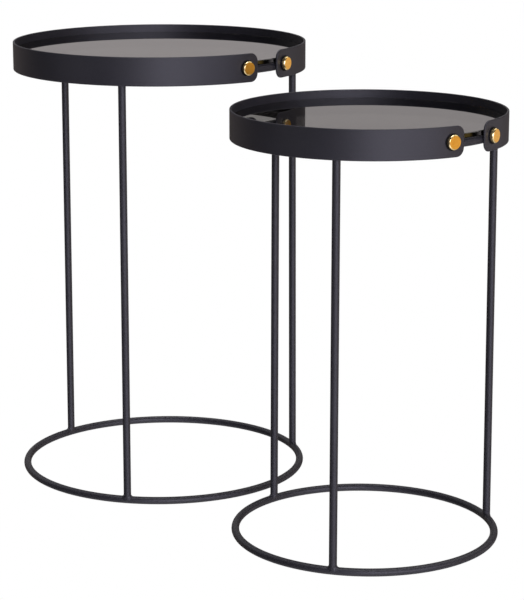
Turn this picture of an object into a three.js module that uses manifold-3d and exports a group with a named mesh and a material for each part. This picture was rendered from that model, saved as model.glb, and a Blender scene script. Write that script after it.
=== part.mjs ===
// A pair of nesting side tables: a tall one and a short one that fits under it.
// Each table is a ring of round bar on the floor, three legs, a seat ring, a steel band that
// forms the tray's rim and is closed by a two-stud clasp, and a loose plate of smoked glass.
// Millimetres, +Z up, floor at z = 0, origin under the middle of the pair's bounding box.

import * as THREE from "three";
import { mergeVertices } from "three/addons/utils/BufferGeometryUtils.js";
import Module from "manifold-3d";

const wasm = await Module();
wasm.setup();

// ---------------------------------------------------------------- driving dimensions

// What differs between the two tables. The clasp heading is the bearing of the clasp's middle.
const TALL = { name: "tall", height: 600, rimRadius: 199, claspHeading: 317.8 };
const SHORT = { name: "short", height: 550, rimRadius: 172.5, claspHeading: 314.1 };

// Where the short table stands: the free space between the two rims, and its bearing.
const RIM_SPACING = 34.5;
const SHORT_BEARING = -48;

// Round bar of the base rings, the legs and the seat rings.
const BAR_DIAMETER = 10;
const BASE_RING_INSET = 1;

// Flat steel band bent into the rim. The clasp gap is measured along the rim.
const BAND_HEIGHT = 37.5;
const BAND_THICKNESS = 2.5;
const CLASP_GAP = 37;
const STRAP_CORNER_RADIUS = 11;
const STUD_TO_STRAP_END = 18;

// Glass plate: the tray depth runs from the rim's top edge down to the glass.
const TRAY_DEPTH = 10.5;
const GLASS_THICKNESS = 6;
const GLASS_BEVEL = 0.8;

// Rubber gasket between the glass and the seat ring: a closed ring whose skirts reach down
// both sides of the bar.
const GASKET_WIDTH = 7;
const GASKET_THICKNESS = 0.6;
const GASKET_SKIRT = 1;

// Clasp studs: a brass cap on a washer, held by a countersunk screw from inside the band.
// The washer's rim is how far it shows beyond the cap.
const CAP_DIAMETER = 18;
const CAP_LENGTH = 4.2;
const CAP_CHAMFER = 0.9;
const CAP_TAPPING_DEPTH = 3.1;
const WASHER_RIM = 1.25;
const WASHER_THICKNESS = 0.8;
const SCREW_DIAMETER = 4;
const SCREW_HEAD_DIAMETER = 8;
const SCREW_HEAD_SINK = 0.1;
const HEX_KEY_WIDTH = 2.5;
const HEX_KEY_DEPTH = 1.1;

// Clearances: pieces that touch, the seat ring inside the band, and the glass inside the band.
const TOUCH_GAP = 0.3;
const SEAT_RING_PLAY = 0.6;
const GLASS_PLAY = 0.8;

// How finely the round shapes are faceted. The ring count is a multiple of three, so that
// the facets of a ring repeat at every leg.
const RING_SEGMENTS = 60;
const RING_BAR_SIDES = 8;
const LEG_SIDES = 12;
const RIM_SEGMENTS = 96;
const STUD_SEGMENTS = 24;
const SCREW_SEGMENTS = 12;
const CORNER_SEGMENTS = 5;

const LEG_ANGLES = { leg_right: 60, leg_back: 180, leg_left: 300 };
const STUD_SIDES = { left: -1, right: 1 };

// ---------------------------------------------------------------- finishes

const blackPowderCoat = new THREE.MeshStandardMaterial({
  color: 0x2b2b31,
  roughness: 0.55,
  metalness: 0.35,
});
const smokedGlass = new THREE.MeshStandardMaterial({
  color: 0x1d1a1a,
  roughness: 0.04,
  metalness: 0,
});
const polishedBrass = new THREE.MeshStandardMaterial({
  color: 0xd9a03c,
  roughness: 0.22,
  metalness: 1,
});
const blackNylon = new THREE.MeshStandardMaterial({
  color: 0x0c0b0b,
  roughness: 0.6,
  metalness: 0,
});
const zincSteel = new THREE.MeshStandardMaterial({
  color: 0x9ea1a4,
  roughness: 0.35,
  metalness: 1,
});
const blackRubber = new THREE.MeshStandardMaterial({
  color: 0x121212,
  roughness: 0.75,
  metalness: 0,
});

// ---------------------------------------------------------------- shared shape helpers

const radians = THREE.MathUtils.degToRad;

/** Turns a closed three.js geometry into a solid that can be cut. */
function toSolid(geometry) {
  const bare = geometry.clone();
  bare.deleteAttribute("normal");
  bare.deleteAttribute("uv");
  const merged = mergeVertices(bare, 1e-4);
  return new wasm.Manifold(
    new wasm.Mesh({
      numProp: 3,
      vertProperties: new Float32Array(merged.attributes.position.array),
      triVerts: new Uint32Array(merged.index.array),
    }),
  );
}

/** Cuts the other geometries out of the first one. */
function cut(geometry, ...cutters) {
  let body = toSolid(geometry);
  for (const cutter of cutters) {
    body = body.subtract(toSolid(cutter));
  }
  const mesh = body.getMesh();
  const result = new THREE.BufferGeometry();
  result.setAttribute("position", new THREE.BufferAttribute(mesh.vertProperties, 3));
  result.setIndex(new THREE.BufferAttribute(mesh.triVerts, 1));
  result.computeVertexNormals();
  return result;
}

/** Revolves a profile of [radius, height] pairs round the Z axis. */
function revolveZ(profile, segments) {
  const points = profile.map(([radius, height]) => new THREE.Vector2(radius, height));
  return new THREE.LatheGeometry(points, segments).rotateX(Math.PI / 2);
}

/** Revolves a profile of [radius, distance] pairs round the X axis, distance along +X. */
function revolveX(profile, segments) {
  return revolveZ(profile, segments).rotateY(Math.PI / 2);
}

/** A closed ring of round bar round the Z axis, its flats touching the true round section. */
function barRing(centreRadius, height, barRadius) {
  const corner = barRadius / Math.cos(Math.PI / RING_BAR_SIDES);
  const profile = [];
  for (let side = 0; side <= RING_BAR_SIDES; side += 1) {
    const turn = ((side % RING_BAR_SIDES) + 0.5) / RING_BAR_SIDES;
    const angle = 2 * Math.PI * turn - Math.PI / 2;
    profile.push([
      centreRadius + corner * Math.cos(angle),
      height + corner * Math.sin(angle),
    ]);
  }
  return revolveZ(profile, RING_SEGMENTS);
}

/** A plain mesh that carries its part's name. */
function piece(name, geometry, material) {
  const mesh = new THREE.Mesh(geometry, material);
  mesh.name = name;
  return mesh;
}

// ---------------------------------------------------------------- sizes worked out per table

/** All the radii, heights and angles of one table, from its driving dimensions. */
function tableLayout({ height, rimRadius }) {
  const barRadius = BAR_DIAMETER / 2;
  const bandInner = rimRadius - BAND_THICKNESS;
  const glassTop = height - TRAY_DEPTH;
  const glassBottom = glassTop - GLASS_THICKNESS;
  const seatTop = glassBottom - TOUCH_GAP - GASKET_THICKNESS - TOUCH_GAP;
  const bandMiddle = height - BAND_HEIGHT / 2;
  const studArc = CLASP_GAP / 2 + STUD_TO_STRAP_END;
  return {
    barRadius,
    bandInner,
    rimRadius,
    rimTop: height,
    bandBottom: height - BAND_HEIGHT,
    bandMiddle,
    glassTop,
    glassBottom,
    glassRadius: bandInner - GLASS_PLAY,
    seatHeight: seatTop - barRadius,
    seatRadius: bandInner - SEAT_RING_PLAY - barRadius,
    baseHeight: barRadius,
    baseRadius: rimRadius - BASE_RING_INSET - barRadius,
    studAngle: studArc / rimRadius,
  };
}

// ---------------------------------------------------------------- pieces of one table

/** Ring of bar that the table stands on. */
function baseRing(t) {
  return barRing(t.baseRadius, t.baseHeight, t.barRadius);
}

/** Ring of bar inside the band, which the glass rests on. */
function seatRing(t) {
  return barRing(t.seatRadius, t.seatHeight, t.barRadius);
}

/** One leg in the XZ plane, with both ends coped to the rings that they are welded to. */
function leg(t) {
  const foot = new THREE.Vector3(t.baseRadius, 0, t.baseHeight);
  const head = new THREE.Vector3(t.seatRadius, 0, t.seatHeight);
  const along = head.clone().sub(foot);
  const bar = new THREE.CylinderGeometry(t.barRadius, t.barRadius, along.length(), LEG_SIDES);
  const upright = new THREE.Vector3(0, 1, 0);
  const turn = new THREE.Quaternion().setFromUnitVectors(upright, along.clone().normalize());
  bar.applyQuaternion(turn);
  bar.translate((foot.x + head.x) / 2, 0, (foot.z + head.z) / 2);
  const coping = t.barRadius + TOUCH_GAP;
  return cut(
    bar,
    barRing(t.baseRadius, t.baseHeight, coping),
    barRing(t.seatRadius, t.seatHeight, coping),
  );
}

/** The opening between the two strap ends, as a prism along +X that flares at both edges. */
function claspOpening(t) {
  const halfGap = CLASP_GAP / 2;
  const corner = STRAP_CORNER_RADIUS;
  const half = BAND_HEIGHT / 2;
  const over = half + 1;
  // The outline is laid out along the rim, then projected square on to the clasp.
  const project = (arc) => t.rimRadius * Math.sin(arc / t.rimRadius);
  const edge = [[halfGap + corner, over], [halfGap + corner, half]];
  for (let step = 1; step <= CORNER_SEGMENTS; step += 1) {
    const angle = (Math.PI / 2) * (step / CORNER_SEGMENTS);
    edge.push([
      halfGap + corner * (1 - Math.sin(angle)),
      half - corner * (1 - Math.cos(angle)),
    ]);
  }
  const lower = edge.map(([arc, z]) => [arc, -z]).reverse();
  const right = [...edge, ...lower];
  const left = right.map(([arc, z]) => [-arc, z]).reverse();
  const outline = [...right, ...left].map(([arc, z]) => new THREE.Vector2(project(arc), z));
  const reach = BAND_THICKNESS + t.rimRadius * (1 - Math.cos(t.studAngle)) + 8;
  const prism = new THREE.ExtrudeGeometry(new THREE.Shape(outline), {
    depth: reach,
    bevelEnabled: false,
  });
  // Outline x runs along +Y, outline y along +Z, and the depth along +X.
  prism.rotateY(Math.PI / 2);
  prism.rotateX(Math.PI / 2);
  prism.translate(t.rimRadius + 2 - reach, 0, t.bandMiddle);
  return prism;
}

/** Rim band with its clasp gap, rounded strap ends and two countersunk screw holes. */
function trayBand(t) {
  const ring = revolveZ(
    [
      [t.bandInner, t.bandBottom],
      [t.rimRadius, t.bandBottom],
      [t.rimRadius, t.rimTop],
      [t.bandInner, t.rimTop],
      [t.bandInner, t.bandBottom],
    ],
    RIM_SEGMENTS,
  );
  const holeRadius = SCREW_DIAMETER / 2 + TOUCH_GAP;
  const sinkRadius = SCREW_HEAD_DIAMETER / 2 + TOUCH_GAP;
  const sinkDepth = sinkRadius - holeRadius;
  const mouth = t.bandInner + SCREW_HEAD_SINK;
  const hole = revolveX(
    [
      [0, mouth - 2],
      [sinkRadius, mouth - 2],
      [sinkRadius, mouth],
      [holeRadius, mouth + sinkDepth],
      [holeRadius, t.rimRadius + 2],
      [0, t.rimRadius + 2],
    ],
    SCREW_SEGMENTS,
  ).translate(0, 0, t.bandMiddle);
  const holes = Object.values(STUD_SIDES).map((side) => hole.clone().rotateZ(side * t.studAngle));
  return cut(ring, claspOpening(t), ...holes);
}

/** Loose glass plate with bevelled edges. */
function glassPlate(t) {
  return revolveZ(
    [
      [0, t.glassBottom],
      [t.glassRadius - GLASS_BEVEL, t.glassBottom],
      [t.glassRadius, t.glassBottom + GLASS_BEVEL],
      [t.glassRadius, t.glassTop - GLASS_BEVEL],
      [t.glassRadius - GLASS_BEVEL, t.glassTop],
      [0, t.glassTop],
    ],
    RIM_SEGMENTS,
  );
}

/** Rubber gasket ring: flat on top, hollowed below to sit on the seat ring. */
function gasket(t) {
  const top = t.glassBottom - TOUCH_GAP;
  const bottom = top - GASKET_THICKNESS - GASKET_SKIRT;
  const inner = t.seatRadius - GASKET_WIDTH / 2;
  const outer = t.seatRadius + GASKET_WIDTH / 2;
  const ring = revolveZ(
    [
      [inner, bottom],
      [outer, bottom],
      [outer, top],
      [inner, top],
      [inner, bottom],
    ],
    RING_SEGMENTS,
  );
  return cut(ring, barRing(t.seatRadius, t.seatHeight, t.barRadius + TOUCH_GAP));
}

/** Distances along a stud's axis, measured from the table's own axis. */
function studStations(t) {
  const washerBack = t.rimRadius + TOUCH_GAP;
  const washerFront = washerBack + WASHER_THICKNESS;
  const capBack = washerFront + TOUCH_GAP;
  return {
    washerBack,
    washerFront,
    capBack,
    capFront: capBack + CAP_LENGTH,
    tappingEnd: capBack + CAP_TAPPING_DEPTH,
    screwEnd: capBack + CAP_TAPPING_DEPTH - TOUCH_GAP,
    headBack: t.bandInner + SCREW_HEAD_SINK,
  };
}

/** Black washer between the cap and the band. */
function washer(t) {
  const s = studStations(t);
  const hole = SCREW_DIAMETER / 2 + TOUCH_GAP;
  const edge = CAP_DIAMETER / 2 + WASHER_RIM;
  return revolveX(
    [
      [hole, s.washerBack],
      [edge, s.washerBack],
      [edge, s.washerFront],
      [hole, s.washerFront],
      [hole, s.washerBack],
    ],
    STUD_SEGMENTS,
  );
}

/** Brass cap with a chamfered face and a blind tapped hole in its back. */
function cap(t) {
  const s = studStations(t);
  const tapping = SCREW_DIAMETER / 2 + TOUCH_GAP;
  return revolveX(
    [
      [0, s.tappingEnd],
      [tapping, s.tappingEnd],
      [tapping, s.capBack],
      [CAP_DIAMETER / 2, s.capBack],
      [CAP_DIAMETER / 2, s.capFront - CAP_CHAMFER],
      [CAP_DIAMETER / 2 - CAP_CHAMFER, s.capFront],
      [0, s.capFront],
    ],
    STUD_SEGMENTS,
  );
}

/** Countersunk screw whose head lies flush in the band's inner face, with a hexagon socket. */
function screw(t) {
  const s = studStations(t);
  const shank = SCREW_DIAMETER / 2;
  const head = SCREW_HEAD_DIAMETER / 2;
  const body = revolveX(
    [
      [0, s.headBack],
      [head, s.headBack],
      [shank, s.headBack + head - shank],
      [shank, s.screwEnd],
      [0, s.screwEnd],
    ],
    SCREW_SEGMENTS,
  );
  const key = revolveX(
    [
      [0, s.headBack - 1],
      [HEX_KEY_WIDTH / 2, s.headBack - 1],
      [HEX_KEY_WIDTH / 2, s.headBack + HEX_KEY_DEPTH],
      [0, s.headBack + HEX_KEY_DEPTH],
    ],
    6,
  );
  return cut(body, key);
}

// ---------------------------------------------------------------- assembly

/** One whole table, standing on z = 0 round its own axis, with its clasp facing +X. */
function table(size) {
  const t = tableLayout(size);
  const named = (name) => `${size.name}_${name}`;
  const group = new THREE.Group();

  group.add(piece(named("base_ring"), baseRing(t), blackPowderCoat));
  group.add(piece(named("seat_ring"), seatRing(t), blackPowderCoat));
  group.add(piece(named("tray_band"), trayBand(t), blackPowderCoat));
  group.add(piece(named("glass_gasket"), gasket(t), blackRubber));
  group.add(piece(named("glass_top"), glassPlate(t), smokedGlass));

  const legShape = leg(t);
  for (const [name, angle] of Object.entries(LEG_ANGLES)) {
    const mesh = piece(named(name), legShape, blackPowderCoat);
    mesh.rotation.z = radians(angle);
    group.add(mesh);
  }

  const studPieces = [
    ["clasp_washer", washer(t), blackNylon],
    ["clasp_cap", cap(t), polishedBrass],
    ["clasp_screw", screw(t), zincSteel],
  ];
  for (const [side, sign] of Object.entries(STUD_SIDES)) {
    for (const [name, shape, material] of studPieces) {
      const mesh = piece(named(`${name}_${side}`), shape, material);
      mesh.position.z = t.bandMiddle;
      mesh.rotation.z = sign * t.studAngle;
      group.add(mesh);
    }
  }
  return group;
}

const centreDistance = TALL.rimRadius + RIM_SPACING + SHORT.rimRadius;
const offsetX = centreDistance * Math.cos(radians(SHORT_BEARING));
const offsetY = centreDistance * Math.sin(radians(SHORT_BEARING));

// The pair is centred by the outer edges of its rims, which reach furthest on every side.
const middleX = (offsetX + SHORT.rimRadius - TALL.rimRadius) / 2;
const middleY = (offsetY - SHORT.rimRadius + TALL.rimRadius) / 2;

const tallTable = table(TALL);
tallTable.position.set(-middleX, -middleY, 0);
tallTable.rotation.z = radians(TALL.claspHeading);

const shortTable = table(SHORT);
shortTable.position.set(offsetX - middleX, offsetY - middleY, 0);
shortTable.rotation.z = radians(SHORT.claspHeading);

const nestingTables = new THREE.Group();
nestingTables.add(tallTable, shortTable);

export default nestingTables;
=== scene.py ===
"""Looks for a pair of nesting side tables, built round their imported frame.

Metres, +Z up, the floor at z = 0. Each table is a round-bar frame with a steel rim band that is
closed by a two-stud clasp, and a loose plate of smoked glass. Every size is read off the frame's
own nodes or is a named value of the class that uses it.
"""

import logging
import math
from dataclasses import dataclass
from enum import Enum
from typing import Callable, Iterable, Optional, Sequence, Union

import bmesh
import bpy
from bmesh.types import BMEdge, BMesh, BMFace, BMVert
from bpy.types import Material, Node, NodeSocket, NodeTree, Object
from mathutils import Matrix, Vector


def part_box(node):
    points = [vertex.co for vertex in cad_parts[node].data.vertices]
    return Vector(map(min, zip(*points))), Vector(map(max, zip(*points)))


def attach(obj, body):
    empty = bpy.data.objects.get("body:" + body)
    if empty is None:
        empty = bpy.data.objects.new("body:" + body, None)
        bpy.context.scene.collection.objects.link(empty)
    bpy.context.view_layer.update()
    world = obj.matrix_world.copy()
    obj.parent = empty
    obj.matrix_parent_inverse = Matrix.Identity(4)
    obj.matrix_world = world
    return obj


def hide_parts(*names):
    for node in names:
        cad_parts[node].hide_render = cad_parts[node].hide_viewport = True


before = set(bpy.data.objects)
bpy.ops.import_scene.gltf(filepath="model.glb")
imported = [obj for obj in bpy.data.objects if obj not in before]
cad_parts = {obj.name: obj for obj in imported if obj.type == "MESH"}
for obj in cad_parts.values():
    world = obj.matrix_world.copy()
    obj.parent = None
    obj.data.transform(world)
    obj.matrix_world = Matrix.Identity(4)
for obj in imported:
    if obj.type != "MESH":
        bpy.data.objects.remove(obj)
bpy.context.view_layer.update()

log = logging.getLogger("nesting_tables")

FULL_TURN = 2 * math.pi
UP = Vector((0, 0, 1))
ALONG_X = Vector((1, 0, 0))
ALONG_Y = Vector((0, 1, 0))

# Two places nearer than this, in metres, are the same place.
NEAR = 1e-6
PLACE_DIGITS = 6
# Points of a spun mesh nearer than this are joined.
SEAM = 1e-7

Colour = tuple[float, float, float]
Tweak = Callable[[Vector], Vector]

BLACK: Colour = (0.0, 0.0, 0.0)
WHITE: Colour = (1.0, 1.0, 1.0)


class Slot(Enum):
    """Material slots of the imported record."""

    POWDER_COAT = "black_powder_coat"
    GLASS = "smoked_glass"
    BRASS = "polished_brass"
    NYLON = "black_nylon"
    ZINC = "zinc_steel"
    RUBBER = "black_rubber"


class Size(Enum):
    """The two tables, by the prefix of their nodes."""

    TALL = "tall"
    SHORT = "short"


class Side(Enum):
    """Side of the clasp, seen from outside the table, as the sign of its angle."""

    LEFT = -1
    RIGHT = 1


class Place(Enum):
    """Where a leg stands, seen from outside with the clasp in front."""

    RIGHT = "right"
    BACK = "back"
    LEFT = "left"


# ---- shader building


class Signal:
    """A number that flows through a shader. Arithmetic on it adds Math nodes."""

    def __init__(self, graph: "Graph", socket: NodeSocket) -> None:
        """Wraps one output socket of a graph."""
        self.graph = graph
        self.socket = socket

    def _math(self, operation: str, first: "Link", second: "Link") -> "Signal":
        """Adds one Math node and returns its result."""
        inputs = {0: first, 1: second}
        return self.graph.signal("ShaderNodeMath", "Value", {"operation": operation}, inputs)

    def __add__(self, other: "Link") -> "Signal":
        """Sum."""
        return self._math("ADD", self, other)

    __radd__ = __add__

    def __sub__(self, other: "Link") -> "Signal":
        """Difference."""
        return self._math("SUBTRACT", self, other)

    def __rsub__(self, other: "Link") -> "Signal":
        """Difference, with this value taken away."""
        return self._math("SUBTRACT", other, self)

    def __mul__(self, other: "Link") -> "Signal":
        """Product."""
        return self._math("MULTIPLY", self, other)

    __rmul__ = __mul__

    def sine(self) -> "Signal":
        """Sine of the value, in radians."""
        return self._math("SINE", self, 0.0)

    def between(self, low: float, high: float) -> "Signal":
        """A smooth step from 0 at low to 1 at high."""
        inputs = {"Value": self, "From Min": low, "From Max": high}
        settings = {"interpolation_type": "SMOOTHSTEP"}
        return self.graph.signal("ShaderNodeMapRange", "Result", settings, inputs)


Link = Union[Signal, NodeSocket, float, int, Sequence[float]]
Settings = dict[str, object]
Inputs = dict[Union[str, int], Link]


class Graph:
    """The node tree of one material or of the world."""

    # Strength of each finer layer of noise against the one before it.
    falloff: float = 0.55

    def __init__(self, tree: NodeTree) -> None:
        """Takes over a node tree and empties it."""
        self.tree = tree
        tree.nodes.clear()

    def node(
        self,
        kind: str,
        settings: Optional[Settings] = None,
        inputs: Optional[Inputs] = None,
    ) -> Node:
        """Adds a node of any kind.

        Args:
            kind: The node's type name.
            settings: Its own settings, set before its sockets.
            inputs: A value or a link for each named or numbered socket. Colours need no alpha.

        Returns:
            The new node.
        """
        made = self.tree.nodes.new(kind)
        for key, setting in (settings or {}).items():
            setattr(made, key, setting)
        for key, link in (inputs or {}).items():
            socket = self._find(made.inputs, key)
            if isinstance(link, Signal):
                self.tree.links.new(link.socket, socket)
            elif isinstance(link, NodeSocket):
                self.tree.links.new(link, socket)
            else:
                socket.default_value = (*link, 1.0) if socket.type == "RGBA" else link
        return made

    @staticmethod
    def _find(sockets: Iterable[NodeSocket], key: Union[str, int]) -> NodeSocket:
        """The socket with that number, identifier or name."""
        if isinstance(key, int):
            return sockets[key]
        return next((s for s in sockets if s.identifier == key), None) or sockets[key]

    def signal(
        self,
        kind: str,
        output: str,
        settings: Optional[Settings] = None,
        inputs: Optional[Inputs] = None,
    ) -> Signal:
        """Adds a node and wraps one of its outputs, with node's own Args."""
        return Signal(self, self._find(self.node(kind, settings, inputs).outputs, output))

    def noise(self, where: Link, size: float, detail: float = 2.0) -> Signal:
        """Soft noise around 0.5, in blotches about as wide as a size in metres."""
        inputs = {"Vector": where, "Scale": 1 / size, "Detail": detail, "Roughness": self.falloff}
        return self.signal("ShaderNodeTexNoise", "Fac", None, inputs)

    def mixed(self, factor: Link, first: Link, second: Link) -> NodeSocket:
        """Blends two colours, from the first at factor 0 to the second at factor 1."""
        settings = {"data_type": "RGBA", "clamp_factor": True}
        inputs = {"Factor_Float": factor, "A_Color": first, "B_Color": second}
        return self.signal("ShaderNodeMix", "Result_Color", settings, inputs).socket

    def bump(self, height: Signal, depth: float) -> NodeSocket:
        """A surface relief of a given depth in metres, from a height around 0 to 1."""
        inputs = {"Height": height, "Distance": depth, "Strength": 1.0}
        return self.node("ShaderNodeBump", None, inputs).outputs["Normal"]


class Finish:
    """A surface finish that can dress a piece."""

    name: str
    slot: Slot

    def shade(self, graph: Graph) -> dict[str, Link]:
        """Values and links for the shader's own sockets."""
        raise NotImplementedError

    def material(self) -> Material:
        """The finish's material, made the first time it is asked for."""
        known = bpy.data.materials.get(self.name)
        if known is not None:
            return known
        made = bpy.data.materials.new(self.name)
        made.use_nodes = True
        graph = Graph(made.node_tree)
        shader = graph.node("ShaderNodeBsdfPrincipled", None, self.shade(graph))
        graph.node("ShaderNodeOutputMaterial", None, {"Surface": shader.outputs["BSDF"]})
        return made


def object_coordinates(graph: Graph) -> NodeSocket:
    """Coordinates on the piece, in metres."""
    return graph.node("ShaderNodeTexCoord").outputs["Object"]


@dataclass(frozen=True)
class PowderCoat(Finish):
    """Charcoal powder coat on steel: satin, with a fine grain over a slight orange peel."""

    name: str = "charcoal_powder_coat"
    slot: Slot = Slot.POWDER_COAT
    dark: Colour = (0.0120, 0.0116, 0.0142)
    light: Colour = (0.0225, 0.0218, 0.0265)
    grain_size: float = 0.0007
    grain_depth: float = 0.000022
    peel_size: float = 0.0042
    peel_depth: float = 0.00003
    cloud_size: float = 0.12
    cloud_share: float = 0.3
    satin: float = 0.38
    grain_roughness: float = 0.14
    cloud_roughness: float = 0.08
    refraction: float = 1.5

    def shade(self, graph: Graph) -> dict[str, Link]:
        """Grain in colour, gloss and relief, with a slow drift over the whole piece."""
        where = object_coordinates(graph)
        grain = graph.noise(where, self.grain_size, 3.0)
        peel = graph.noise(where, self.peel_size, 1.0)
        cloud = graph.noise(where, self.cloud_size, 2.0)
        relief = grain * self.grain_depth + peel * self.peel_depth
        patches = grain * (1 - self.cloud_share) + cloud * self.cloud_share
        return {
            "Base Color": graph.mixed(patches.between(0.35, 0.65), self.dark, self.light),
            "Roughness": self.satin + grain * self.grain_roughness + cloud * self.cloud_roughness,
            "Normal": graph.bump(relief, 1.0),
            "IOR": self.refraction,
        }


@dataclass(frozen=True)
class SmokedGlass(Finish):
    """Polished grey-brown float glass that lets about a fifth of the light through."""

    name: str = "smoked_float_glass"
    slot: Slot = Slot.GLASS
    tint: Colour = (0.035, 0.032, 0.031)
    smear_size: float = 0.06
    streaks_per_smear: float = 9
    streak_share: float = 0.3
    smeared_tint: float = 0.94
    polish: float = 0.004
    haze_roughness: float = 0.012
    refraction: float = 1.5

    def shade(self, graph: Graph) -> dict[str, Link]:
        """Clear gloss with the faint smears of a wiped plate."""
        where = object_coordinates(graph)
        smear = graph.noise(where, self.smear_size, 3.0)
        streak = graph.noise(where, self.smear_size / self.streaks_per_smear, 2.0)
        haze = (smear * (1 - self.streak_share) + streak * self.streak_share).between(0.45, 0.75)
        smeared = tuple(channel * self.smeared_tint for channel in self.tint)
        return {
            "Base Color": graph.mixed(haze, self.tint, smeared),
            "Roughness": self.polish + haze * self.haze_roughness,
            "IOR": self.refraction,
            "Transmission Weight": 1.0,
        }


@dataclass(frozen=True)
class TurnedBrass(Finish):
    """Warm gold brass: a turned face with fine tool rings and a polished side. The chamfer ring and
    side are painted a paler, brighter gold than the face. That is a painted highlight, laid over their
    real lower roughness.
    """

    name: str = "turned_brass"
    slot: Slot = Slot.BRASS
    gold: Colour = (0.90, 0.50, 0.085)
    tarnish: Colour = (0.82, 0.40, 0.055)
    # Paler, brighter gold painted on the chamfer ring, side and back of the cap: a painted highlight,
    # not a different brass.
    polished_rim_highlight: Colour = (1.0, 0.80, 0.38)
    face_radius: float = 0.0080
    step: float = 0.0002
    ring_pitch: float = 0.00034
    ring_depth: float = 0.000002
    blotch_size: float = 0.0026
    scuffs_per_blotch: float = 8
    scuff_depth: float = 0.3
    face_roughness: float = 0.27
    ring_roughness: float = 0.04
    scuff_roughness: float = 0.06
    rim_polish: float = 0.14

    def shade(self, graph: Graph) -> dict[str, Link]:
        """Tool rings follow the distance from the stud's own axis."""
        where = object_coordinates(graph)
        reach = graph.signal("ShaderNodeAttribute", "Fac", {"attribute_name": "turning_radius"})
        rings = (reach * (FULL_TURN / self.ring_pitch)).sine() * 0.5 + 0.5
        blotch = graph.noise(where, self.blotch_size, 3.0)
        scuff = graph.noise(where, self.blotch_size / self.scuffs_per_blotch, 2.0)
        # rim covers the chamfer ring, side and back. Their colour is painted paler and brighter as a
        # painted highlight. Their roughness is truly lowered for the polished finish.
        rim = reach.between(self.face_radius - self.step, self.face_radius + self.step)
        face = graph.mixed(blotch.between(0.45, 0.8), self.gold, self.tarnish)
        roughness = self.face_roughness + rings * self.ring_roughness + scuff * self.scuff_roughness
        return {
            "Base Color": graph.mixed(rim, face, self.polished_rim_highlight),
            "Roughness": roughness - rim * self.rim_polish,
            "Metallic": 1.0,
            "Normal": graph.bump(rings + scuff * self.scuff_depth, self.ring_depth),
        }


@dataclass(frozen=True)
class Nylon(Finish):
    """Black nylon with a faint moulded grain."""

    name: str = "black_nylon_washer"
    slot: Slot = Slot.NYLON
    dark: Colour = (0.003, 0.003, 0.003)
    light: Colour = (0.008, 0.008, 0.008)
    grain_size: float = 0.0005
    grain_depth: float = 0.00002
    matt: float = 0.52
    grain_roughness: float = 0.2
    shine: float = 0.12

    def shade(self, graph: Graph) -> dict[str, Link]:
        """Fine grain in colour, gloss and relief."""
        grain = graph.noise(object_coordinates(graph), self.grain_size, 3.0)
        return {
            "Base Color": graph.mixed(grain, self.dark, self.light),
            "Roughness": self.matt + grain * self.grain_roughness,
            "Normal": graph.bump(grain, self.grain_depth),
            "Specular IOR Level": self.shine,
        }


@dataclass(frozen=True)
class ZincPlate(Finish):
    """Bright zinc on steel, with the soft mottling of a plated fastener."""

    name: str = "zinc_plated_steel"
    slot: Slot = Slot.ZINC
    bright: Colour = (0.62, 0.64, 0.66)
    dull: Colour = (0.40, 0.41, 0.42)
    mottle_size: float = 0.0011
    mottle_depth: float = 0.00001
    gloss: float = 0.24
    mottle_roughness: float = 0.2

    def shade(self, graph: Graph) -> dict[str, Link]:
        """Mottled brightness and gloss."""
        mottle = graph.noise(object_coordinates(graph), self.mottle_size, 4.0)
        return {
            "Base Color": graph.mixed(mottle.between(0.35, 0.7), self.bright, self.dull),
            "Roughness": self.gloss + mottle * self.mottle_roughness,
            "Metallic": 1.0,
            "Normal": graph.bump(mottle, self.mottle_depth),
        }


@dataclass(frozen=True)
class Rubber(Finish):
    """Matt black rubber of the gasket, with a faint bloom."""

    name: str = "black_gasket_rubber"
    slot: Slot = Slot.RUBBER
    dark: Colour = (0.008, 0.008, 0.008)
    bloom: Colour = (0.022, 0.022, 0.024)
    bloom_size: float = 0.006
    grain_size: float = 0.0005
    grain_depth: float = 0.00002
    matt: float = 0.62
    grain_roughness: float = 0.16
    refraction: float = 1.52

    def shade(self, graph: Graph) -> dict[str, Link]:
        """Blotches of bloom over a fine grain."""
        where = object_coordinates(graph)
        bloom = graph.noise(where, self.bloom_size, 3.0)
        grain = graph.noise(where, self.grain_size, 2.0)
        return {
            "Base Color": graph.mixed(bloom.between(0.4, 0.7), self.dark, self.bloom),
            "Roughness": self.matt + grain * self.grain_roughness,
            "Normal": graph.bump(grain, self.grain_depth),
            "IOR": self.refraction,
        }


POWDER_COAT = PowderCoat()
SMOKED_GLASS = SmokedGlass()
TURNED_BRASS = TurnedBrass()
NYLON = Nylon()
ZINC_PLATE = ZincPlate()
RUBBER = Rubber()


# ---- mesh building


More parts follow.
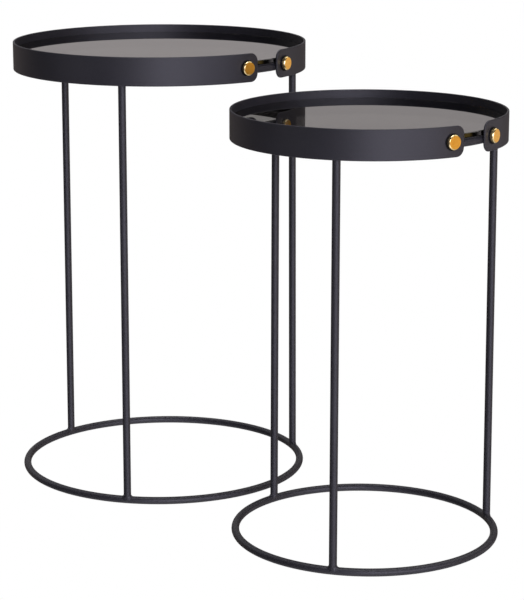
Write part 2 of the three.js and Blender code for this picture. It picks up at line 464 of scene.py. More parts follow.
class Workpiece:
    """One piece in the making: a mesh that is shaped, dressed and set on its CAD body."""

    def __init__(self, name: str) -> None:
        """Starts an empty piece."""
        self.name = name
        self.bm = bmesh.new()

    def circle(self, radius: float, segments: int, matrix: Matrix) -> list[BMVert]:
        """Adds an open circle of edges, moved from the XY plane, and returns its vertices in order."""
        made = bmesh.ops.create_circle(self.bm, radius=radius, segments=segments, matrix=matrix)
        return made["verts"]

    def outline(self, points: Sequence[tuple[float, float]], closed: bool) -> list[BMVert]:
        """Adds a profile of [radius, height] corners in the XZ plane and returns its vertices."""
        verts = [self.bm.verts.new((radius, 0, height)) for radius, height in points]
        pairs = list(zip(verts, verts[1:]))
        if closed:
            pairs.append((verts[-1], verts[0]))
        for first, second in pairs:
            self.bm.edges.new((first, second))
        return verts

    def spin(self, verts: Sequence[BMVert], steps: int) -> None:
        """Turns a profile right round the Z axis and closes the seam and the poles."""
        edges = list({edge for vert in verts for edge in vert.link_edges})
        bmesh.ops.spin(
            self.bm,
            geom=[*verts, *edges],
            cent=(0, 0, 0),
            axis=UP,
            dvec=(0, 0, 0),
            angle=FULL_TURN,
            steps=steps,
            use_merge=True,
            use_duplicate=False,
        )
        bmesh.ops.remove_doubles(self.bm, verts=self.bm.verts[:], dist=SEAM)
        self.face_outwards()

    def face_outwards(self) -> None:
        """Turns every face to point out of the closed shape."""
        bmesh.ops.recalc_face_normals(self.bm, faces=self.bm.faces[:])

    def bridge(self, *loops: Sequence[BMVert]) -> None:
        """Joins each closed loop of vertices to the next with a band of faces."""
        for first, second in zip(loops, loops[1:]):
            edges = [*loop_edges(first), *loop_edges(second)]
            bmesh.ops.bridge_loops(self.bm, edges=edges)

    def close_loop(self, loop: Sequence[BMVert]) -> None:
        """Fills a closed loop of vertices with one face."""
        bmesh.ops.contextual_create(self.bm, geom=[*loop, *loop_edges(loop)])

    def reshape(self, tweak: Tweak, verts: Optional[Iterable[BMVert]] = None) -> None:
        """Moves vertices, all of them unless some are given, to where a rule says."""
        for vert in self.bm.verts if verts is None else verts:
            vert.co = tweak(vert.co)

    def place(self, matrix: Matrix) -> None:
        """Moves the whole mesh."""
        bmesh.ops.transform(self.bm, matrix=matrix, verts=self.bm.verts[:])

    def smooth(self, crease_degrees: float = 30.0) -> None:
        """Shades the mesh smooth, except across edges sharper than an angle."""
        limit = math.radians(crease_degrees)
        for face in self.bm.faces:
            face.smooth = True
        for edge in self.bm.edges:
            if edge.calc_face_angle(0.0) > limit:
                edge.smooth = False

    def in_scene(self) -> Object:
        """Turns the mesh into an object of the scene."""
        mesh = bpy.data.meshes.new(self.name)
        self.bm.to_mesh(mesh)
        self.bm.free()
        made = bpy.data.objects.new(self.name, mesh)
        bpy.context.scene.collection.objects.link(made)
        return made

    def finish(self, finish: Finish, body: str, node: str) -> None:
        """Makes the object, dresses it and sets it on its body.

        Args:
            finish: Surface finish.
            body: CAD body that it moves with.
            node: CAD node that it stands for.
        """
        made = self.in_scene()
        made.data.materials.append(finish.material())
        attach(made, body)
        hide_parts(node)
        log.info("%s: %d faces, %s, on %s", made.name, len(made.data.polygons), finish.name, body)


def verts_of(geom: Iterable[object]) -> list[BMVert]:
    """The vertices among the elements that an operator gives back."""
    return [item for item in geom if isinstance(item, BMVert)]


def soften(bm: BMesh, geom: Sequence[object], radius: float, segments: int, affect: str) -> None:
    """Rounds some corners or edges of a mesh, as affect says: VERTICES or EDGES."""
    bmesh.ops.bevel(
        bm,
        geom=geom,
        offset=radius,
        offset_type="OFFSET",
        segments=segments,
        profile=0.5,
        affect=affect,
        material=-1,
    )


def cut_across(bm: BMesh, faces: Sequence[BMFace], along: Vector, place: float) -> list[BMFace]:
    """Cuts faces where a plane crosses them.

    Args:
        bm: Their mesh.
        faces: The faces to cut.
        along: Unit vector square to the plane.
        place: How far along that vector the plane is.

    Returns:
        The faces on both sides of the cut.
    """
    edges = {edge for face in faces for edge in face.edges}
    verts = {vert for face in faces for vert in face.verts}
    geom = [*verts, *edges, *faces]
    cut = bmesh.ops.bisect_plane(bm, geom=geom, dist=NEAR, plane_co=along * place, plane_no=along)
    return [item for item in cut["geom"] if isinstance(item, BMFace)]


def turned(axis: Vector, bearing: float) -> Matrix:
    """Turns a shape made round Z to a bearing, and moves it to a table's axis."""
    return Matrix.Translation(axis) @ Matrix.Rotation(bearing, 4, "Z")


def loop_edges(loop: Sequence[BMVert]) -> list[BMEdge]:
    """The edges that run between the vertices of one loop."""
    members = set(loop)
    edges = {edge for vert in loop for edge in vert.link_edges}
    return [edge for edge in edges if set(edge.verts) <= members]


# ---- reading the frame


@dataclass(frozen=True)
class Survey:
    """Reads sizes off the CAD nodes of one table, round the table's own upright axis."""

    size: Size

    def full(self, name: str) -> str:
        """A node's or a piece's name with the table's prefix."""
        return f"{self.size.value}_{name}"

    def points(self, name: str) -> list[Vector]:
        """Corners of a node's mesh."""
        return [vert.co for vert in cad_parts[self.full(name)].data.vertices]

    def centre(self, name: str) -> Vector:
        """Middle of a node's box."""
        low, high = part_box(self.full(name))
        return (low + high) / 2

    @property
    def axis(self) -> Vector:
        """Foot of the table's axis on the floor."""
        middle = self.centre("base_ring")
        return Vector((middle.x, middle.y, 0))

    def heading(self, name: str) -> float:
        """Angle of a node round the axis, in radians."""
        arm = self.centre(name) - self.axis
        return math.atan2(arm.y, arm.x)

    def radii(self, name: str) -> tuple[float, float]:
        """Nearest and furthest that a node's corners come to the axis."""
        axis = self.axis.xy
        reach = [(point.xy - axis).length for point in self.points(name)]
        return min(reach), max(reach)

    def heights(self, name: str) -> tuple[float, float]:
        """Lowest and highest point of a node."""
        low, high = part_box(self.full(name))
        return low.z, high.z

    def half_height(self, name: str) -> float:
        """Half the height of a node's box."""
        low, high = self.heights(name)
        return (high - low) / 2

    def stations(self, name: str) -> tuple[float, float]:
        """How far out a node starts and ends, along its own heading."""
        axis = self.axis
        heading = self.heading(name)
        outwards = Vector((math.cos(heading), math.sin(heading), 0))
        reach = [(point - axis).dot(outwards) for point in self.points(name)]
        return min(reach), max(reach)


@dataclass(frozen=True)
class Bar:
    """A ring of round bar: the radius of its centre line, its height and the bar's radius."""

    ring_radius: float
    height: float
    bar_radius: float

    @classmethod
    def read(cls, survey: Survey, name: str) -> "Bar":
        """Reads a ring off its CAD node."""
        inner, outer = survey.radii(name)
        low, high = survey.heights(name)
        return cls((outer + inner) / 2, (low + high) / 2, (high - low) / 2)

    def surface(self, lean: float, bearing: float) -> Vector:
        """A point on the bar, at a lean from its top outwards and a bearing round the axis."""
        radius = self.ring_radius + self.bar_radius * math.sin(lean)
        height = self.height + self.bar_radius * math.cos(lean)
        return Vector((radius * math.cos(bearing), radius * math.sin(bearing), height))


# ---- the tables' pieces


@dataclass
class BarRing:
    """A closed ring bent from round bar."""

    name: str
    bar: Bar
    section_segments: int = 28
    ring_steps: int = 216

    def build(self) -> Workpiece:
        """Spins the bar's section round the axis."""
        piece = Workpiece(self.name)
        middle = Matrix.Translation((self.bar.ring_radius, 0, self.bar.height))
        upright = middle @ Matrix.Rotation(math.pi / 2, 4, "X")
        section = piece.circle(self.bar.bar_radius, self.section_segments, upright)
        piece.spin(section, self.ring_steps)
        piece.smooth()
        return piece


@dataclass
class WeldCollar:
    """A fillet weld round the end of a leg, where it meets a ring of bar."""

    ring: Bar
    leg_radius: float
    upwards: bool
    width: float = 0.0026
    crown: float = 0.0007
    root: float = 0.0012
    ripples: int = 17
    ripple_height: float = 0.00009
    segments: int = 68
    arc_points: int = 6

    def point(self, turn: float, share: float) -> Vector:
        """A point on the bead's face.

        Args:
            turn: Angle round the leg, 0 away from the table's axis.
            share: 0 on the leg, 1 on the ring.

        Returns:
            The point, with the leg standing at bearing zero.
        """
        toe_leg, corner, toe_ring, outwards = self.corners(turn)
        ripple = self.ripple_height * math.sin(self.ripples * turn) * math.sin(math.pi * share)
        control = corner + outwards * self.crown
        a = toe_leg.lerp(control, share)
        b = control.lerp(toe_ring, share)
        return a.lerp(b, share) + outwards * ripple

    def corners(self, turn: float) -> tuple[Vector, Vector, Vector, Vector]:
        """The bead's toes, the corner that it fills and the way out of that corner."""
        across = self.leg_radius * math.cos(turn)
        along = self.leg_radius * math.sin(turn)
        lean = math.asin(max(-1.0, min(1.0, across / self.ring.bar_radius)))
        corner = self.on_ring(lean, along)
        out_of_leg = Vector((math.cos(turn), math.sin(turn), 0))
        out_of_ring = Vector((math.sin(lean), 0, math.cos(lean) * self.sign))
        toe_leg = corner + Vector((0, 0, self.width * self.sign))
        toe_lean = lean + self.width / self.ring.bar_radius * math.cos(turn)
        toe_ring = self.on_ring(toe_lean, along + self.width * math.sin(turn))
        return toe_leg, corner, toe_ring, (out_of_leg + out_of_ring).normalized()

    @property
    def sign(self) -> int:
        """Which way the leg leaves the ring."""
        return 1 if self.upwards else -1

    def on_ring(self, lean: float, along: float) -> Vector:
        """A point on the ring, a distance along the bar, on the side that the leg leaves."""
        point = self.ring.surface(lean, along / self.ring.ring_radius)
        point.z = self.ring.height + (point.z - self.ring.height) * self.sign
        return point

    def add_to(self, piece: Workpiece) -> None:
        """Adds the bead, a closed tube round the leg, to a piece."""
        loops = []
        for step in range(self.arc_points + 1):
            share = step / self.arc_points
            loop = piece.circle(self.leg_radius, self.segments, Matrix.Identity(4))
            for index, vert in enumerate(loop):
                vert.co = self.point(FULL_TURN * index / self.segments, share)
            loops.append(loop)
        root = piece.circle(self.leg_radius, self.segments, Matrix.Identity(4))
        for index, vert in enumerate(root):
            _, corner, _, outwards = self.corners(FULL_TURN * index / self.segments)
            vert.co = corner - outwards * self.root
        piece.bridge(*loops, root, loops[0])


@dataclass
class Leg:
    """A straight leg of round bar, coped and welded to the base ring and the seat ring."""

    name: str
    base: Bar
    seat: Bar
    bearing: float
    axis: Vector
    segments: int = 32
    bite: float = 0.0004

    def build(self) -> Workpiece:
        """Extrudes the bar between its coped ends and adds both welds."""
        piece = Workpiece(self.name)
        radius = self.base.bar_radius
        foot = piece.circle(radius, self.segments, Matrix.Translation((self.base.ring_radius, 0, 0)))
        piece.close_loop(foot)
        grown = bmesh.ops.extrude_face_region(piece.bm, geom=piece.bm.faces[:])["geom"]
        head = verts_of(grown)
        lean = Vector((self.seat.ring_radius - self.base.ring_radius, 0, 0))
        bmesh.ops.translate(piece.bm, verts=head, vec=lean)
        piece.reshape(lambda co: self.coped(co, self.base, 1), foot)
        piece.reshape(lambda co: self.coped(co, self.seat, -1), head)
        piece.face_outwards()
        WeldCollar(self.base, radius, upwards=True).add_to(piece)
        WeldCollar(self.seat, radius, upwards=False).add_to(piece)
        piece.face_outwards()
        piece.place(turned(self.axis, self.bearing))
        piece.smooth()
        return piece

    def coped(self, co: Vector, ring: Bar, sign: int) -> Vector:
        """Drops a point of the leg's end just into the ring's surface, above it or below it."""
        offset = co.xy.length - ring.ring_radius
        rise = math.sqrt(max(0.0, ring.bar_radius**2 - offset**2)) - self.bite
        return Vector((co.x, co.y, ring.height + sign * rise))


@dataclass
class RimBand:
    """The flat steel band bent into a rim, with an open clasp and two screw holes.

    It is made flat, as a strap lies before it is rolled: x runs along its outer face from the
    middle of its length, y is height, and z is 0 on the outer face and falls into the steel.
    """

    name: str
    radius: float
    thickness: float
    height: float
    middle: float
    half_gap: float
    stud_arc: float
    axis: Vector
    heading: float
    stud_to_end: float = 0.018
    corner_radius: float = 0.011
    corner_segments: int = 12
    edge_round: float = 0.0009
    edge_segments: int = 3
    edge_degrees: float = 60.0
    column_pitch: float = 0.0052
    hole_radius: float = 0.0023
    sink_radius: float = 0.0043
    patch_half: float = 0.0072
    patch_columns: int = 8
    flat_lean: float = 0.9999
    wall_lean: float = 0.001

    @property
    def half_length(self) -> float:
        """Half the strap's length."""
        return math.pi * self.radius - self.half_gap

    @property
    def hole_places(self) -> list[float]:
        """Where along the strap the two holes are."""
        place = math.pi * self.radius - self.stud_arc
        return [-place, place]

    def build(self) -> Workpiece:
        """Cuts the strap out, rounds its edges, drills it and rolls it."""
        piece = Workpiece(self.name)
        bm = piece.bm
        self.cut_blank(bm)
        self.score_columns(bm)
        for place in self.hole_places:
            self.drill(piece, place)
        piece.face_outwards()
        self.mark_sharp_edges(bm)
        piece.reshape(self.rolled)
        piece.place(turned(self.axis, self.heading))
        return piece

    def cut_blank(self, bm: BMesh) -> None:
        """Makes the flat strap with rounded corners and softened edges."""
        bmesh.ops.create_grid(bm, x_segments=1, y_segments=1, size=1.0)
        bmesh.ops.scale(bm, vec=(self.half_length, self.height / 2, 1), verts=bm.verts[:])
        soften(bm, bm.verts[:], self.corner_radius, self.corner_segments, "VERTICES")
        grown = bmesh.ops.extrude_face_region(bm, geom=bm.faces[:])["geom"]
        bmesh.ops.translate(bm, verts=verts_of(grown), vec=(0, 0, -self.thickness))
        bmesh.ops.recalc_face_normals(bm, faces=bm.faces[:])
        limit = math.radians(self.edge_degrees)
        rims = [edge for edge in bm.edges if edge.calc_face_angle(0.0) > limit]
        soften(bm, rims, self.edge_round, self.edge_segments, "EDGES")

    def score_columns(self, bm: BMesh) -> None:
        """Cuts the strap across at every place where it has to bend."""
        half = self.half_length - self.corner_radius
        count = math.ceil(2 * half / self.column_pitch)
        places = {round(-half + 2 * half * step / count, PLACE_DIGITS) for step in range(count + 1)}
        clear = self.patch_half + self.column_pitch / 2
        places = {x for x in places if all(abs(x - hole) > clear for hole in self.hole_places)}
        for hole in self.hole_places:
            for step in range(self.patch_columns + 1):
                share = 2 * step / self.patch_columns - 1
                places.add(round(hole + self.patch_half * share, PLACE_DIGITS))
        for step in range(1, self.corner_segments):
            turn = math.pi / 2 * step / self.corner_segments
            past = half + self.corner_radius * math.sin(turn)
            places.update({round(past, PLACE_DIGITS), round(-past, PLACE_DIGITS)})
        ahead = bm.faces[:]
        for x in sorted(places):
            for vert in {vert for face in ahead for vert in face.verts}:
                if abs(vert.co.x - x) < NEAR:
                    vert.co.x = x
            faces = cut_across(bm, ahead, ALONG_X, x)
            ahead = [face for face in faces if max(vert.co.x for vert in face.verts) > x + NEAR]

    def drill(self, piece: Workpiece, place: float) -> None:
        """Opens one countersunk hole at a place along the strap."""
        self.open_patch(piece.bm, place, 0.0)
        self.narrow(piece.bm, place, 0.0, self.hole_radius, 0.0)
        self.open_patch(piece.bm, place, -self.thickness)
        self.narrow(piece.bm, place, -self.thickness, self.sink_radius, -self.thickness)
        throat = self.sink_radius - self.hole_radius - self.thickness
        self.narrow(piece.bm, place, -self.thickness, self.hole_radius, throat)
        mouths = [edge for edge in piece.bm.edges if edge.is_boundary]
        bmesh.ops.bridge_loops(piece.bm, edges=mouths)

    def open_patch(self, bm: BMesh, place: float, depth: float) -> None:
        """Takes a square out of one face of the strap.

        Args:
            bm: The strap's mesh.
            place: Middle of the square along the strap.
            depth: The face's own depth.
        """
        reach = self.patch_half + 10 * NEAR

        def on_face(face: BMFace) -> bool:
            """Whether a face is one of the columns at the hole."""
            level = all(abs(vert.co.z - depth) < NEAR for vert in face.verts)
            return level and all(abs(vert.co.x - place) < reach for vert in face.verts)

        for level in (-self.patch_half, self.patch_half):
            cut_across(bm, [face for face in bm.faces if on_face(face)], ALONG_Y, level)
        columns = [face for face in bm.faces if on_face(face)]
        inside = [face for face in columns if abs(face.calc_center_median().y) < self.patch_half]
        bmesh.ops.delete(bm, geom=inside, context="FACES")
        mouth = [edge for edge in bm.edges if edge.is_boundary]
        uprights = [edge for edge in mouth if abs(edge.verts[0].co.x - edge.verts[1].co.x) < NEAR]
        bmesh.ops.subdivide_edges(bm, edges=uprights, cuts=self.patch_columns - 1)

    @staticmethod
    def narrow(bm: BMesh, place: float, start: float, radius: float, depth: float) -> None:
        """Extrudes an opening's rim, which is at a start depth, to a circle at another depth."""
        open_edges = [edge for edge in bm.edges if edge.is_boundary]
        rim = [edge for edge in open_edges if all(abs(vert.co.z - start) < NEAR for vert in edge.verts)]
        for vert in verts_of(bmesh.ops.extrude_edge_only(bm, edges=rim)["geom"]):
            arm = Vector((vert.co.x - place, vert.co.y)).normalized() * radius
            vert.co = Vector((place + arm.x, arm.y, depth))

    def mark_sharp_edges(self, bm: BMesh) -> None:
        """Keeps the shading of the flat faces apart from that of the softened edges."""

        def kind(face: BMFace) -> int:
            """0 for a flat face, 2 for a wall and 1 for anything between."""
            lean = abs(face.normal.z)
            return 0 if lean > self.flat_lean else 2 if lean < self.wall_lean else 1

        for face in bm.faces:
            face.smooth = True
        for edge in bm.edges:
            edge.smooth = len({kind(face) for face in edge.link_faces}) == 1

    def rolled(self, co: Vector) -> Vector:
        """Where a point of the flat strap goes when the band is rolled."""
        angle = math.pi + co.x / self.radius
        reach = self.radius + co.z
        return Vector((reach * math.cos(angle), reach * math.sin(angle), self.middle + co.y))


@dataclass
class GlassPlate:
    """A loose round plate of glass with polished, bevelled edges."""

    name: str
    radius: float
    bottom: float
    top: float
    axis: Vector
    bevel: float = 0.0008
    steps: int = 256

    def build(self) -> Workpiece:
        """Spins the plate's profile, with its bevelled edges."""
        piece = Workpiece(self.name)
        inset = self.radius - self.bevel
        profile = [
            (0, self.bottom),
            (inset, self.bottom),
            (self.radius, self.bottom + self.bevel),
            (self.radius, self.top - self.bevel),
            (inset, self.top),
            (0, self.top),
        ]
        piece.spin(piece.outline(profile, closed=False), self.steps)
        piece.place(Matrix.Translation(self.axis))
        piece.smooth()
        return piece


@dataclass
class Gasket:
    """A closed rubber ring between the glass and the seat ring, moulded over the bar below it."""

    name: str
    bar: Bar
    inner: float
    outer: float
    bottom: float
    top: float
    axis: Vector
    lip: float = 0.0004
    lip_corner: float = 0.3
    clearance: float = 0.0002
    rows: int = 10
    steps: int = 216

    def build(self) -> Workpiece:
        """Spins a soft-edged section whose underside follows the bar."""
        piece = Workpiece(self.name)
        corner = self.lip * self.lip_corner
        profile = [
            (self.outer, self.bottom + self.lip),
            (self.outer, self.top - self.lip),
            (self.outer - corner, self.top - corner),
            (self.outer - self.lip, self.top),
            (self.inner + self.lip, self.top),
            (self.inner + corner, self.top - corner),
            (self.inner, self.top - self.lip),
            (self.inner, self.bottom + self.lip),
        ]
        width = self.outer - self.inner
        for step in range(1, self.rows):
            radius = self.inner + width * step / self.rows
            profile.append((radius, max(self.bottom, self.height_on_bar(radius))))
        piece.spin(piece.outline(profile, closed=True), self.steps)
        piece.place(Matrix.Translation(self.axis))
        piece.smooth(crease_degrees=40.0)
        return piece

    def height_on_bar(self, radius: float) -> float:
        """Height just above the bar, at a distance from the table's axis."""
        offset = radius - self.bar.ring_radius
        reach = self.bar.bar_radius + self.clearance
        return self.bar.height + math.sqrt(max(0.0, reach**2 - offset**2))


@dataclass(frozen=True)
class StudAxis:
    """The line that a clasp stud is built along: out of the table's axis, level."""

    axis: Vector
    height: float
    bearing: float

    @property
    def matrix(self) -> Matrix:
        """Turns a shape made round Z, with distance along +Z, on to the stud's line."""
        return turned(self.axis + UP * self.height, self.bearing) @ Matrix.Rotation(math.pi / 2, 4, "Y")


@dataclass
class StudPart:
    """A part of a clasp stud, from how far out it starts to how far out it ends."""

    name: str
    line: StudAxis
    back: float
    front: float


@dataclass
class BrassCap(StudPart):
    """A turned brass cap with a chamfered face and a blind hole in its back."""

    radius: float
    chamfer: float = 0.0009
    soft: float = 0.00018
    tapping_radius: float = 0.0023
    tapping_depth: float = 0.0031
    steps: int = 64

    def build(self) -> Workpiece:
        """Spins the cap, and notes each point's distance from its axis for the tool rings."""
        piece = Workpiece(self.name)
        inset = self.radius - self.chamfer
        profile = [
            (0, self.back + self.tapping_depth),
            (self.tapping_radius, self.back + self.tapping_depth),
            (self.tapping_radius, self.back),
            (self.radius - self.soft, self.back),
            (self.radius, self.back + self.soft),
            (self.radius, self.front - self.chamfer - self.soft),
            (self.radius - self.soft / 2, self.front - self.chamfer),
            (inset, self.front - self.soft / 2),
            (inset - self.soft, self.front),
            (0, self.front),
        ]
        piece.spin(piece.outline(profile, closed=False), self.steps)
        reach = piece.bm.verts.layers.float.new("turning_radius")
        for vert in piece.bm.verts:
            vert[reach] = vert.co.xy.length
        piece.place(self.line.matrix)
        piece.smooth(crease_degrees=20.0)
        return piece


@dataclass
class Washer(StudPart):
    """A thin nylon washer with softened rims."""

    radius: float
    hole_radius: float = 0.0023
    soft: float = 0.0002
    steps: int = 64

    def build(self) -> Workpiece:
        """Spins the washer's closed section."""
        piece = Workpiece(self.name)
        profile = [
            (self.hole_radius, self.back),
            (self.radius - self.soft, self.back),
            (self.radius, self.back + self.soft),
            (self.radius, self.front - self.soft),
            (self.radius - self.soft, self.front),
            (self.hole_radius, self.front),
        ]
        piece.spin(piece.outline(profile, closed=True), self.steps)
        piece.place(self.line.matrix)
        piece.smooth()
        return piece


@dataclass
class SocketScrew(StudPart):
    """A countersunk screw with a hexagon socket, driven outwards from inside the band."""

    head_radius: float = 0.004
    shank_radius: float = 0.002
    land: float = 0.0002
    tip: float = 0.0004
    key_flat: float = 0.0025
    key_depth: float = 0.0013
    segments: int = 48

    def build(self) -> Workpiece:
        """Bridges circles along the screw, with a hexagon sunk into its head."""
        piece = Workpiece(self.name)
        neck = self.back + self.land + self.head_radius - self.shank_radius
        outside = [
            (self.head_radius, self.back),
            (self.head_radius, self.back + self.land),
            (self.shank_radius, neck),
            (self.shank_radius, self.front - self.tip),
            (self.shank_radius - self.tip, self.front),
        ]
        loops = [
            piece.circle(radius, self.segments, Matrix.Translation((0, 0, distance)))
            for radius, distance in outside
        ]
        rim = self.hexagon(piece, self.back)
        floor = self.hexagon(piece, self.back + self.key_depth)
        piece.bridge(floor, rim, *loops)
        piece.close_loop(floor)
        piece.close_loop(loops[-1])
        piece.face_outwards()
        piece.place(self.line.matrix)
        piece.smooth()
        return piece

    def hexagon(self, piece: Workpiece, distance: float) -> list[BMVert]:
        """Adds a hexagon with as many vertices as the circles, some distance along the screw."""
        verts = piece.circle(self.key_flat / 2, self.segments, Matrix.Translation((0, 0, distance)))
        piece.reshape(self.on_hexagon, verts)
        return verts

    def on_hexagon(self, co: Vector) -> Vector:
        """Moves a point of the key's inscribed circle straight out to the hexagon round it."""
        sixth = math.pi / 3
        fold = math.atan2(co.y, co.x) % sixth - sixth / 2
        return Vector((co.x / math.cos(fold), co.y / math.cos(fold), co.z))


@dataclass
class Table:
    """One whole table: its frame, rim, clasp, gasket and glass."""

    size: Size

    def __post_init__(self) -> None:
        """Reads the table off the frame."""
        self.survey = Survey(self.size)
        self.axis = self.survey.axis
        self.body = self.survey.full("table")
        self.glass_body = self.survey.full("glass")
        self.base = Bar.read(self.survey, "base_ring")
        self.seat = Bar.read(self.survey, "seat_ring")
        studs = [self.survey.heading(f"clasp_cap_{side.name.lower()}") for side in Side]
        self.heading = math.atan2(sum(map(math.sin, studs)), sum(map(math.cos, studs)))
        spread = (studs[1] - studs[0] + math.pi) % FULL_TURN - math.pi
        self.stud_angle = abs(spread) / 2

    def build(self) -> None:
        """Builds every piece of the table."""
        self.build_rings()
        self.build_legs()
        self.build_rim()
        self.build_clasp()
        self.build_gasket()
        self.build_glass()

    def build_rings(self) -> None:
        """The floor ring and the ring that the glass rests on."""
        rings = (("floor_ring", "base_ring", self.base), ("glass_rest_ring", "seat_ring", self.seat))
        for name, node, bar in rings:
            piece = BarRing(self.survey.full(name), bar).build()
            piece.place(Matrix.Translation(self.axis))
            piece.finish(POWDER_COAT, self.body, self.survey.full(node))

    def build_legs(self) -> None:
        """The three legs with their welds."""
        for place in Place:
            node = f"leg_{place.value}"
            name = self.survey.full(f"welded_{node}")
            leg = Leg(name, self.base, self.seat, self.survey.heading(node), self.axis)
            leg.build().finish(POWDER_COAT, self.body, self.survey.full(node))

    def build_rim(self) -> None:
        """The band with its clasp opening."""
        low, high = self.survey.heights("tray_band")
        inner, outer = self.survey.radii("tray_band")
        stud_arc = self.stud_angle * outer
        band = RimBand(
            self.survey.full("rim_band"),
            radius=outer,
            thickness=outer - inner,
            height=high - low,
            middle=(low + high) / 2,
            half_gap=stud_arc - RimBand.stud_to_end,
            stud_arc=stud_arc,
            axis=self.axis,
            heading=self.heading,
        )
        band.build().finish(POWDER_COAT, self.body, self.survey.full("tray_band"))

    def build_clasp(self) -> None:
        """The two brass studs with their washers and screws."""
        survey = self.survey
        for side in Side:
            tag = side.name.lower()
            cap, washer, screw = (f"clasp_{kind}_{tag}" for kind in ("cap", "washer", "screw"))
            height = survey.centre(cap).z
            line = StudAxis(self.axis, height, self.heading + side.value * self.stud_angle)
            name = survey.full(f"brass_stud_{tag}")
            stud = BrassCap(name, line, *survey.stations(cap), survey.half_height(cap))
            stud.build().finish(TURNED_BRASS, self.body, survey.full(cap))
            name = survey.full(f"stud_washer_{tag}")
            ring = Washer(name, line, *survey.stations(washer), survey.half_height(washer))
            ring.build().finish(NYLON, self.body, survey.full(washer))
            name = survey.full(f"socket_screw_{tag}")
            bolt = SocketScrew(name, line, *survey.stations(screw))
            bolt.build().finish(ZINC_PLATE, self.body, survey.full(screw))

    def build_gasket(self) -> None:
        """The rubber ring under the glass."""
        inner, outer = self.survey.radii("glass_gasket")
        low, high = self.survey.heights("glass_gasket")
        name = self.survey.full("rubber_gasket")
        ring = Gasket(name, self.seat, inner, outer, low, high, self.axis)
        ring.build().finish(RUBBER, self.body, self.survey.full("glass_gasket"))

    def build_glass(self) -> None:
        """The loose glass plate."""
        low, high = self.survey.heights("glass_top")
        radius = self.survey.radii("glass_top")[1]
        plate = GlassPlate(self.survey.full("glass_plate"), radius, low, high, self.axis)
        plate.build().finish(SMOKED_GLASS, self.glass_body, self.survey.full("glass_top"))


# ---- studio


@dataclass
class Camera:
    """The camera, looking along +Y and a little down."""

    place: Vector
    pitch_degrees: float
    lens: float
    sensor: float = 36.0
    nearest: float = 0.05
    furthest: float = 200.0

    def build(self) -> None:
        """Makes the scene's camera."""
        data = bpy.data.cameras.new("camera")
        data.lens = self.lens
        data.sensor_width = self.sensor
        data.clip_start = self.nearest
        data.clip_end = self.furthest
        camera = bpy.data.objects.new("camera", data)
        tilt = Matrix.Rotation(math.radians(90 - self.pitch_degrees), 4, "X")
        camera.matrix_world = Matrix.Translation(self.place) @ tilt
        bpy.context.scene.collection.objects.link(camera)
        bpy.context.scene.camera = camera
        log.info("camera at %s", tuple(self.place))


@dataclass(frozen=True)
class Panel:
    """A soft patch of light in the room, far away from the tables.

    Its bearing is 0 in front of the tables, 90 on their right and 180 behind them.
    """

    bearing: float
    rise: float
    full: float
    edge: float
    glow: Colour

    def light(self, graph: Graph, ray: Link) -> NodeSocket:
        """The panel's light along a ray.

        Args:
            graph: The room's shader.
            ray: Where the ray goes.

        Returns:
            The panel's colour inside its full angle, fading to black at its edge.
        """
        turn = math.radians(self.bearing)
        rise = math.radians(self.rise)
        level = math.cos(rise)
        middle = (math.sin(turn) * level, -math.cos(turn) * level, math.sin(rise))
        inputs = {0: ray, 1: middle}
        near = graph.signal("ShaderNodeVectorMath", "Value", {"operation": "DOT_PRODUCT"}, inputs)
        share = near.between(math.cos(math.radians(self.edge)), math.cos(math.radians(self.full)))
        return graph.mixed(share, BLACK, self.glow)


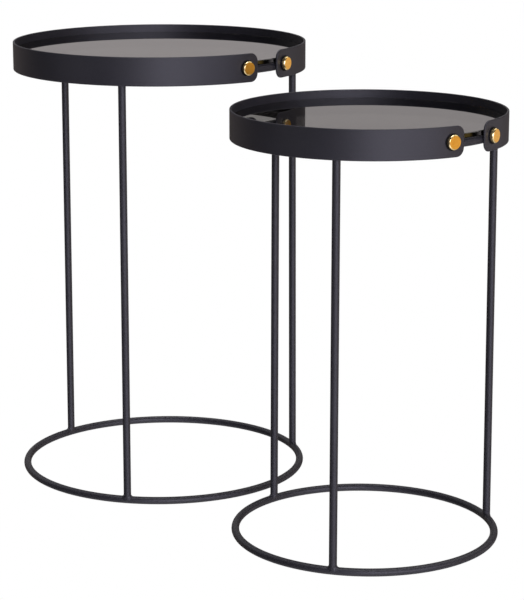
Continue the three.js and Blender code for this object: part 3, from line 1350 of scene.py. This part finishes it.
@dataclass
class Studio:
    """A white floor in a dark room with soft panels of light round it."""

    floor_half: float = 14.0
    floor_white: float = 1.0
    room_colour: Colour = (0.030, 0.028, 0.027)
    panels: tuple[Panel, ...] = (
        Panel(bearing=180, rise=13, full=17, edge=21, glow=(0.455, 0.425, 0.425)),
        Panel(bearing=180, rise=-8, full=6, edge=12, glow=(0.75, 0.72, 0.70)),
        Panel(bearing=11, rise=11, full=10, edge=25, glow=(4.85, 4.7, 5.75)),
        Panel(bearing=48, rise=13, full=8, edge=18, glow=(3.0, 2.9, 3.5)),
        Panel(bearing=43, rise=-15, full=9, edge=22, glow=(1.5, 1.45, 1.75)),
        Panel(bearing=0, rise=-40, full=14, edge=30, glow=(1.05, 1.02, 1.22)),
        Panel(bearing=78, rise=-6, full=9, edge=16, glow=(0.92, 0.62, 0.16)),
        Panel(bearing=115, rise=-10, full=10, edge=18, glow=(0.94, 0.86, 0.90)),
        Panel(bearing=-68, rise=-3, full=3, edge=8, glow=(1.8, 1.75, 1.7)),
        Panel(bearing=150, rise=-8, full=12, edge=28, glow=(0.16, 0.13, 0.115)),
        Panel(bearing=-140, rise=-8, full=12, edge=28, glow=(0.24, 0.20, 0.19)),
        Panel(bearing=125, rise=46, full=10, edge=24, glow=(1.3, 1.25, 1.2)),
        Panel(bearing=-135, rise=36, full=12, edge=30, glow=(0.7, 0.7, 0.75)),
        Panel(bearing=0, rise=90, full=12, edge=28, glow=(4.6, 4.5, 4.9)),
        Panel(bearing=0, rise=-90, full=25, edge=68, glow=(0.62, 0.60, 0.62)),
    )

    def build(self) -> None:
        """Makes the floor and the room."""
        self.build_floor()
        self.build_room()
        bpy.context.scene.view_settings.view_transform = "Standard"

    def build_floor(self) -> None:
        """A plain white floor that throws no light on the tables."""
        piece = Workpiece("floor")
        bmesh.ops.create_grid(piece.bm, x_segments=1, y_segments=1, size=self.floor_half)
        floor = piece.in_scene()
        floor.visible_diffuse = False
        floor.visible_glossy = False
        floor.visible_shadow = False
        paint = bpy.data.materials.new("white_floor")
        paint.use_nodes = True
        graph = Graph(paint.node_tree)
        inputs = {"Color": WHITE, "Strength": self.floor_white}
        glow = graph.node("ShaderNodeEmission", None, inputs)
        graph.node("ShaderNodeOutputMaterial", None, {"Surface": glow.outputs["Emission"]})
        floor.data.materials.append(paint)

    def build_room(self) -> None:
        """A dark room with panels of light, white where it is seen directly or through glass."""
        world = bpy.data.worlds.new("room")
        world.use_nodes = True
        graph = Graph(world.node_tree)
        ray = graph.node("ShaderNodeTexCoord").outputs["Generated"]
        light: Link = self.room_colour
        for panel in self.panels:
            inputs = {0: light, 1: panel.light(graph, ray)}
            light = graph.node("ShaderNodeVectorMath", {"operation": "ADD"}, inputs).outputs["Vector"]
        path = graph.node("ShaderNodeLightPath")
        seen = Signal(graph, path.outputs["Is Camera Ray"]) + path.outputs["Is Transmission Ray"]
        colour = graph.mixed(seen, light, WHITE)
        background = graph.node("ShaderNodeBackground", None, {"Color": colour, "Strength": 1.0})
        graph.node("ShaderNodeOutputWorld", None, {"Surface": background.outputs["Background"]})
        bpy.context.scene.world = world


# ---- making it all


def main() -> None:
    """Builds the studio and both tables."""
    logging.basicConfig(level=logging.INFO, format="%(name)s: %(message)s")
    Camera(place=Vector((0.01704, -2.8567, 0.94108)), pitch_degrees=13.258, lens=131.75).build()
    Studio().build()
    for size in Size:
        Table(size).build()


if __name__ == "__main__":
    main()
